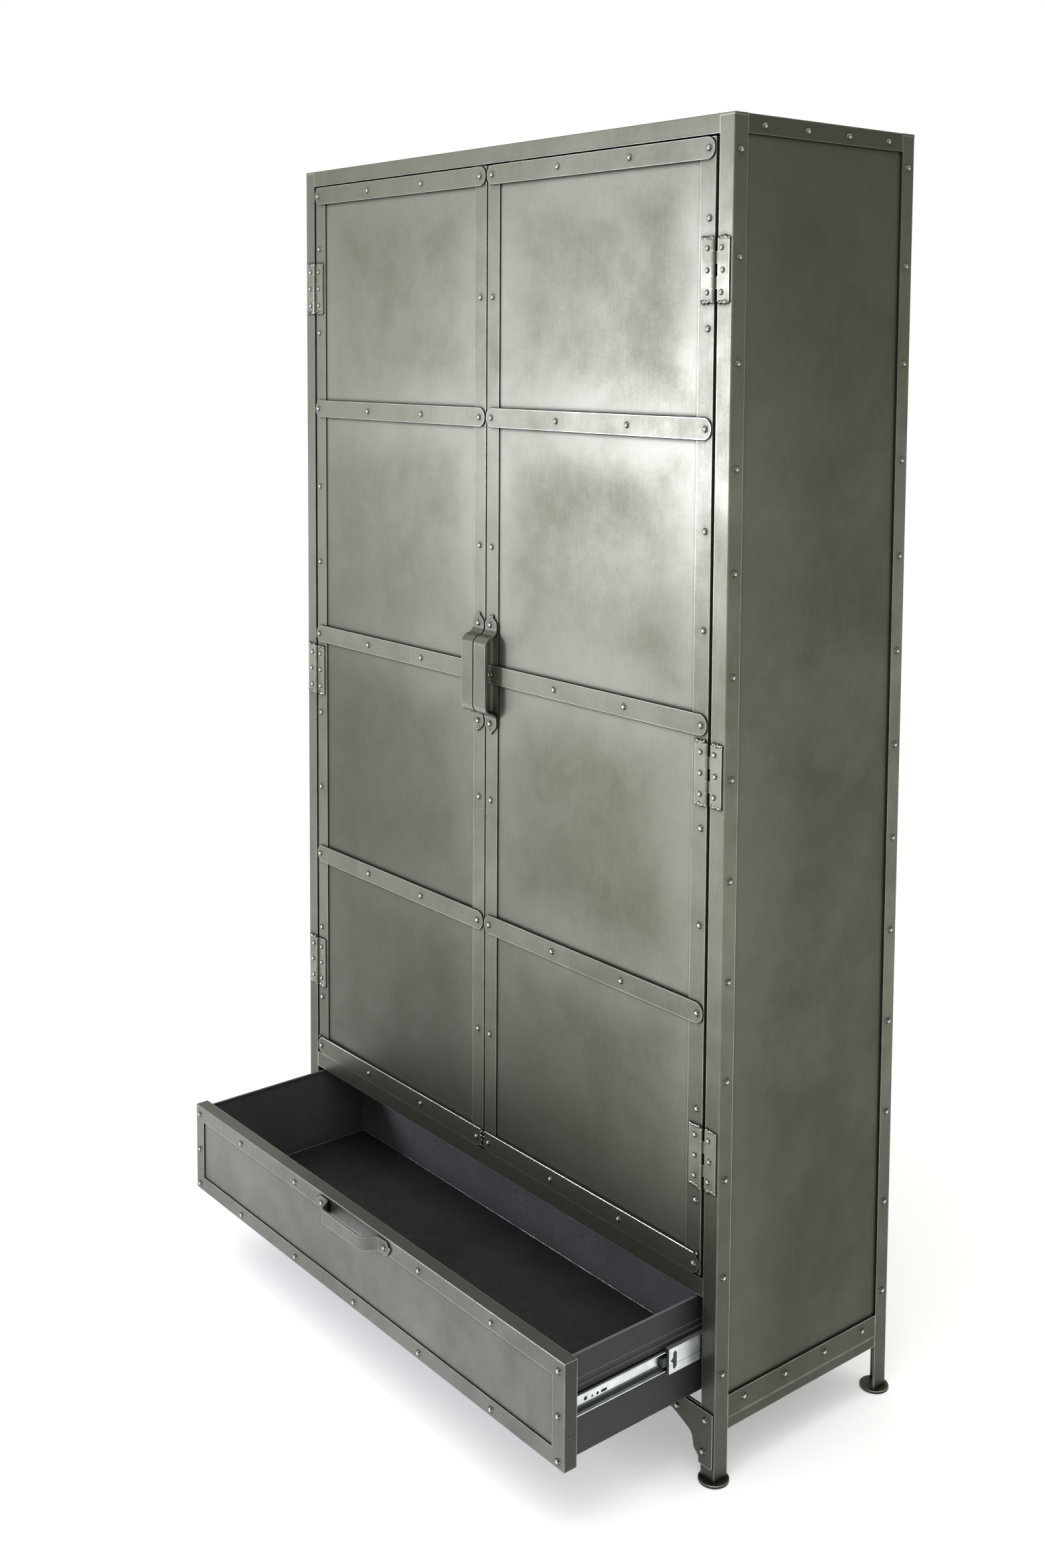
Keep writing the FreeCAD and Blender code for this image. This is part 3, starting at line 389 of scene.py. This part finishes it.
# Nodes whose finish differs from the rest of their slot
SLIDE_MIDDLE_Z = (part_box("slide_inner_right")[0].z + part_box("slide_inner_right")[1].z) / 2
DOOR_SHEET = pewter("door_sheet", PATINA_DARK, PATINA_LIGHT, gloss=(0.41, 0.50), edge=0.6, wave=0.0006,
                    bays=True, shade_below=0.62, shade_below_span=(0.30, 1.25), lean=0.95, wide_shade=0.60)
# Darker copies of the panel and frame finishes for the cabinet's sides: painted shade
SHADED_SIDE_SHEET = pewter("shaded_side_sheet", (0.086, 0.085, 0.064), (0.152, 0.150, 0.124), gloss=(0.46, 0.56), edge=0.5,
                    wave=0.0008, shade_below=0.38, front=0.55)
SHADED_SIDE_FRAME = pewter("shaded_side_frame", (0.090, 0.089, 0.069), (0.160, 0.158, 0.134), gloss=(0.36, 0.50),
                    shade_below=0.50, shade_below_span=(0.1, 0.7))
DRAWER_FRAME = pewter("drawer_frame", (0.108, 0.106, 0.094), (0.208, 0.205, 0.190), gloss=(0.30, 0.44),
                      side_shade=0.80)
DRAWER_SHEET = pewter("drawer_sheet", (0.120, 0.118, 0.106), (0.215, 0.213, 0.199), gloss=(0.42, 0.52),
                      edge=0.6)
PULL_STEEL = pewter("pull_steel", (0.14, 0.139, 0.114), (0.29, 0.287, 0.255), gloss=(0.18, 0.27),
                    cloud_scale=12.0, edge=0.8, wide_shade=0.65)
DRAWER_FLOOR = charcoal("drawer_floor", (0.018, 0.018, 0.019), (0.034, 0.034, 0.036), shade=0.6)
SLIDE_INNER = zinc("zinc_inner", groove=(SLIDE_MIDDLE_Z - 0.0118, SLIDE_MIDDLE_Z - 0.0035))
WELD = pewter("weld_steel", (0.030, 0.029, 0.025), (0.34, 0.335, 0.31), gloss=(0.20, 0.36), cloud_scale=300.0,
              cloud=0.9, edge=0.0, reach=0.004, corner=(0.5, 0.95), wide_shade=0.0)
# Near-white metal for the strap lip: a painted highlight along the lowest straps' top edges
HIGHLIGHT_LIP = pewter("strap_lip_highlight", (0.45, 0.45, 0.41), (0.90, 0.89, 0.85), gloss=(0.16, 0.28), cloud_scale=40.0,
             cloud=0.8, edge=0.0, grime_and_shade_weight=0.0, wide_shade=0.0)
SEAM = pewter("drawer_seam", (0.10, 0.10, 0.10), (0.50, 0.51, 0.51), gloss=(0.28, 0.42), cloud_scale=60.0,
              cloud=0.7, edge=0.0, grime_and_shade_weight=0.2, reach=0.002, wide_shade=0.0)
SPECIAL = {
    "door_panel_left": DOOR_SHEET,
    "door_panel_right": DOOR_SHEET,
    "side_panel_left": SHADED_SIDE_SHEET,
    "side_panel_right": SHADED_SIDE_SHEET,
    "top_rails_side": SHADED_SIDE_FRAME,
    "bottom_rails_side": SHADED_SIDE_FRAME,
    "drawer_front_frame": DRAWER_FRAME,
    "drawer_front_panel": DRAWER_SHEET,
    "door_pull_left": PULL_STEEL,
    "door_pull_right": PULL_STEEL,
    "drawer_pull": DRAWER_SHEET,
    "drawer_bottom": DRAWER_FLOOR,
    "slide_inner_left": SLIDE_INNER,
    "slide_inner_right": SLIDE_INNER,
}


def dress_nodes():
    """Puts each CAD node in the material of its slot in the record."""
    for part in frame["record"]["subparts"]:
        material = SPECIAL.get(part["node"], MATERIALS[part["material_slot"]])
        for slot in NODES[part["node"]].material_slots:
            slot.material = material


def bead(mesh, start, end, normal, radius, ragged, draw):
    """A lumpy run of weld between two points of a surface that faces along the normal."""
    along = end - start
    steps = max(4, round(along.length / (0.9 * radius)))
    across = along.cross(normal).normalized()
    rings = []
    for step in range(steps + 1):
        share = step / steps
        from_end = min(share, 1 - share) * along.length
        taper = min(1.0, math.sqrt((from_end + 0.12 * radius) / radius))
        size = radius * taper * (1 + ragged * draw.uniform(-0.5, 0.5))
        middle = start + along * share + across * radius * ragged * draw.uniform(-0.5, 0.5)
        ring = []
        for side in range(BEAD_SIDES):
            angle = 2 * math.pi * side / BEAD_SIDES
            out = across * math.cos(angle) * size + normal * math.sin(angle) * size * 0.85
            ring.append(mesh.verts.new(middle + out))
        rings.append(ring)
    for ring, following in zip(rings, rings[1:]):
        for side in range(BEAD_SIDES):
            beside = (side + 1) % BEAD_SIDES
            mesh.faces.new((ring[side], ring[beside], following[beside], following[side]))
    for ring, tip in ((rings[0], start), (rings[-1], end)):
        pole = mesh.verts.new(tip)
        for side in range(BEAD_SIDES):
            mesh.faces.new((pole, ring[side], ring[(side + 1) % BEAD_SIDES]))


def as_piece(mesh, name, material):
    """The object made from a finished bmesh, in that material."""
    bmesh.ops.recalc_face_normals(mesh, faces=mesh.faces)
    data = bpy.data.meshes.new(name)
    mesh.to_mesh(data)
    mesh.free()
    data.materials.append(material)
    piece = bpy.data.objects.new(name, data)
    bpy.context.scene.collection.objects.link(piece)
    return piece


def welded(name, runs, body, material, seed):
    """One piece made of several runs of weld, each (start, end, normal, radius, raggedness)."""
    draw = random.Random(seed)
    mesh = bmesh.new()
    for start, end, normal, radius, ragged in runs:
        bead(mesh, Vector(start), Vector(end), Vector(normal), radius, ragged, draw)
    for face in mesh.faces:
        face.smooth = True
    piece = as_piece(mesh, name, material)
    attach(piece, body)


def hinge_welds():
    """Ragged weld along the top and bottom of every hinge leaf."""
    draw = random.Random(11)
    pin_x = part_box("hinge_pins")[1].x - BARREL
    door_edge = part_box("door_hinge_leaves_right")[0].x
    frame_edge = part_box("hinge_leaves_frame")[1].x
    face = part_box("door_frame_right")[0].y
    leaves = {"carcass": [], "door_left": [], "door_right": []}
    for bottom, top in span_groups("door_hinge_leaves_right"):
        for side, door in ((1, "door_right"), (-1, "door_left")):
            for z, lean in ((top, 1), (bottom, -1)):
                spans = ((door, door_edge - 0.001, pin_x - DOOR_LEAF_ROOT),
                         ("carcass", pin_x + FRAME_LEAF_ROOT, frame_edge + 0.0012))
                for body, near, far in spans:
                    height = z + lean * 0.0004
                    tilt = [draw.uniform(-LEAF_WELD_WOBBLE, LEAF_WELD_WOBBLE) for _ in range(2)]
                    start = (side * near, face - 0.0012, height + tilt[0])
                    end = (side * far, face - 0.0012, height + tilt[1])
                    leaves[body].append((start, end, OUT, LEAF_WELD, 0.9))
    for body, runs in leaves.items():
        welded("hinge_welds_" + body, runs, body, WELD, len(runs))


def slide_levers():
    """Black arrow-shaped release lever on the outer face of each middle slide member."""
    low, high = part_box("slide_middle_right")
    middle_z = (low.z + high.z) / 2
    for side, hand in ((1, "right"), (-1, "left")):
        mesh = bmesh.new()
        rings = []
        for x in (high.x - LEVER_SUNK, high.x + LEVER_PROUD):
            rings.append([mesh.verts.new((side * x, low.y + y, middle_z + z)) for y, z in LEVER_OUTLINE])
        for ring in rings:
            mesh.faces.new(ring)
        for index in range(len(LEVER_OUTLINE)):
            beside = (index + 1) % len(LEVER_OUTLINE)
            mesh.faces.new((rings[0][index], rings[0][beside], rings[1][beside], rings[1][index]))
        piece = as_piece(mesh, "slide_lever_" + hand, MATERIALS["black_plastic"])
        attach(piece, "slide_middle_" + hand)


def nub(place, size, draw, normal=OUT, ragged=0.5):
    """A short blob of weld at a place, as a run for welded()."""
    tilt = draw.uniform(-0.6, 0.6)
    if abs(normal[0]) > 0.5:
        lean = Vector((0, math.cos(tilt), math.sin(tilt)))
    else:
        lean = Vector((math.cos(tilt), 0, math.sin(tilt)))
    middle = Vector(place)
    return middle - lean * size * 0.8, middle + lean * size * 0.8, normal, size, ragged


def door_welds():
    """Blobs at the tips of the pulls, under the strap ends and where the lowest straps meet, and the
    thin lip along the top of each lowest strap, whose near-white colour is a painted highlight."""
    draw = random.Random(23)
    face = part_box("door_frame_right")[0].y
    pull_low, pull_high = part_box("door_pull_right")
    pull_x = (pull_low.x + pull_high.x) / 2
    strap_low, strap_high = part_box("door_straps_right")
    straps = span_groups("door_straps_right")
    for side, door in ((1, "door_right"), (-1, "door_left")):
        runs = []
        for tip, lean in ((pull_high.z, -1), (pull_low.z, 1)):
            for drop, size in PULL_TIP_WELDS:
                x = side * (pull_x + draw.uniform(-0.004, 0.004))
                runs.append(nub((x, face - 0.0015, tip + lean * drop), size, draw))
        for bottom, _ in straps:
            for x in (strap_low.x + STRAP_END / 2, strap_high.x - STRAP_END):
                place = (side * (x + draw.uniform(-0.003, 0.003)), face, bottom - 0.0003)
                runs.append(nub(place, draw.uniform(0.0012, 0.0020), draw))
        bottom, top = straps[0]
        for step in range(4):
            height = bottom + (top - bottom) * (0.15 + 0.25 * step)
            place = (side * (strap_low.x + 0.001), face - 0.0022, height)
            runs.append(nub(place, draw.uniform(0.0016, 0.0026), draw, ragged=0.9))
        corner = (side * (strap_high.x - 0.004), face - 0.0018, top + 0.001)
        runs.append(nub(corner, 0.0024, draw, ragged=0.9))
        welded("strap_welds_" + door, runs, door, WELD, 31 + side)

        # A thin lip along the strap's top edge, its light colour a painted highlight
        edge = (strap_low.y + 0.0004, top)
        start = (side * (strap_low.x + 0.003), *edge)
        end = (side * (strap_high.x - 0.010), *edge)
        welded("strap_lip_highlight_" + door, [(start, end, OUT, STRAP_LIP, 0.25)], door, HIGHLIGHT_LIP, 47)


def drawer_welds():
    """Blobs on the drawer front and sides, and the fine bright seams inside the box."""
    draw = random.Random(37)
    low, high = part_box("drawer_pull")
    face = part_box("drawer_front_frame")[0].y
    side_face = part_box("drawer_front_frame")[1].x
    middle_z = (low.z + high.z) / 2
    runs = []
    for side in (-1, 1):
        tip = high.x * side
        runs.append(nub((tip, face - 0.0012, middle_z + 0.002), 0.0026, draw))
        runs.append(nub((tip - side * 0.006, face - 0.0015, middle_z + 0.006), 0.0018, draw))
        runs.append(nub((side * side_face, face + 0.009, DRAWER_SPOT_Z), 0.0014, draw, normal=(side, 0, 0)))
    box_low, box_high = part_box("drawer_side_right")
    wall_x = box_high.x - BEAD_PROUD
    for side in (-1, 1):
        place = (side * wall_x, box_low.y + 0.150, CREASE_Z)
        runs.append(nub(place, 0.0016, draw, normal=(side, 0, 0)))
    welded("drawer_welds", runs, "drawer", WELD, 41)

    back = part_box("drawer_back")[0].y
    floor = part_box("drawer_bottom")[1].z
    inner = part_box("drawer_back")[1].x
    start = box_low.y + 0.002
    seams = [((-inner, back, floor), (inner, back, floor), (0, 0, 1), FLOOR_SEAM, 0.25)]
    for side in (-1, 1):
        wall = side * inner
        seams.append(((wall, start, floor), (wall, back, floor), (0, 0, 1), FLOOR_SEAM, 0.25))
        seams.append(((wall, back, floor), (wall, back, box_high.z - 0.004), OUT, CORNER_SEAM, 0.25))
    welded("drawer_seams", seams, "drawer", SEAM, 43)


def pale_floor():
    """A wide plain floor with a faint glow of its own, which keeps the shadows soft."""
    half = FLOOR_SIZE / 2
    corners = [(-half, -half, 0), (half, -half, 0), (half, half, 0), (-half, half, 0)]
    floor_mesh = bpy.data.meshes.new("studio_floor")
    floor_mesh.from_pydata(corners, [], [(0, 1, 2, 3)])
    floor = bpy.data.objects.new("studio_floor", floor_mesh)
    bpy.context.scene.collection.objects.link(floor)
    floor.location.z = -FLOOR_DROP
    t = Tree("pale_floor")
    colour = t.blend(t.noise(t.place(), 2.0, 2.0), *FLOOR_TONES)
    floor_mesh.materials.append(t.finish(Base_Color=colour, Roughness=0.9, Emission_Color=(1.0, 1.0, 1.0),
                                         Emission_Strength=FLOOR_GLOW))


def toward(t, direction, side):
    """1 where the direction is the side's, -1 opposite."""
    inputs = {0: direction, 1: Vector(side).normalized()}
    return t.add("VectorMath", inputs, operation="DOT_PRODUCT").outputs["Value"]


def surroundings():
    """A soft room, brighter towards the key light, overhead and at the right. The camera sees it white."""
    world = bpy.data.worlds.new("studio")
    bpy.context.scene.world = world
    world.use_nodes = True
    t = Tree("studio", world.node_tree)
    direction = t.add("TexCoord").outputs["Generated"]
    soft = t.span(toward(t, direction, BRIGHT_SIDE), -0.55, 0.75, WORLD_DARK, WORLD_BRIGHT)
    height = t.add("SeparateXYZ", {0: direction}).outputs[2]
    soft = t.maths("MAXIMUM", soft, t.span(height, 0.35, 0.9, 0.0, WORLD_ZENITH))
    fill = t.span(toward(t, direction, FILL_SIDE), 0.70, 0.97, 0.0, WORLD_FILL)
    soft = t.maths("MAXIMUM", soft, fill)
    seen = t.add("LightPath").outputs["Is Camera Ray"]
    level = t.maths("MAXIMUM", soft, seen)
    tint = t.blend(seen, WORLD_TINT, (1.0, 1.0, 1.0))
    back = t.add("Background", {"Color": tint, "Strength": level})
    out = t.add("OutputWorld")
    t.tree.links.new(back.outputs[0], out.inputs[0])


def lamps():
    """The small key light at the left and the wide one overhead."""
    for name, place, aim, size, power, tint in (
            ("key", KEY_PLACE, KEY_AIM, KEY_SIZE, KEY_POWER, KEY_TINT),
            ("top", TOP_PLACE, TOP_AIM, TOP_SIZE, TOP_POWER, TOP_TINT)):
        lamp = bpy.data.lights.new(name, "AREA")
        lamp.shape = "SQUARE"
        lamp.size = size
        lamp.energy = power
        lamp.color = tint
        holder = bpy.data.objects.new(name, lamp)
        bpy.context.scene.collection.objects.link(holder)
        holder.location = place
        holder.rotation_euler = (Vector(aim) - Vector(place)).to_track_quat("-Z", "Y").to_euler()
        holder.visible_camera = False


def camera():
    """The camera, turned by heading and pitch and then rolled about its own axis."""
    data = bpy.data.cameras.new("camera")
    data.lens = CAMERA_LENS
    data.shift_y = CAMERA_SHIFT
    data.clip_end = 100.0
    holder = bpy.data.objects.new("camera", data)
    bpy.context.scene.collection.objects.link(holder)
    heading, pitch = math.radians(CAMERA_HEADING), math.radians(CAMERA_PITCH)
    ahead = Vector((-math.sin(heading) * math.cos(pitch), math.cos(heading) * math.cos(pitch),
                    -math.sin(pitch)))
    turn = ahead.to_track_quat("-Z", "Y").to_matrix() @ Matrix.Rotation(math.radians(CAMERA_ROLL), 3, "Z")
    holder.matrix_world = Matrix.Translation(CAMERA_PLACE) @ turn.to_4x4()
    bpy.context.scene.camera = holder


dress_nodes()
hinge_welds()
slide_levers()
door_welds()
drawer_welds()
pale_floor()
surroundings()
lamps()
camera()
bpy.context.scene.view_settings.view_transform = "Standard"
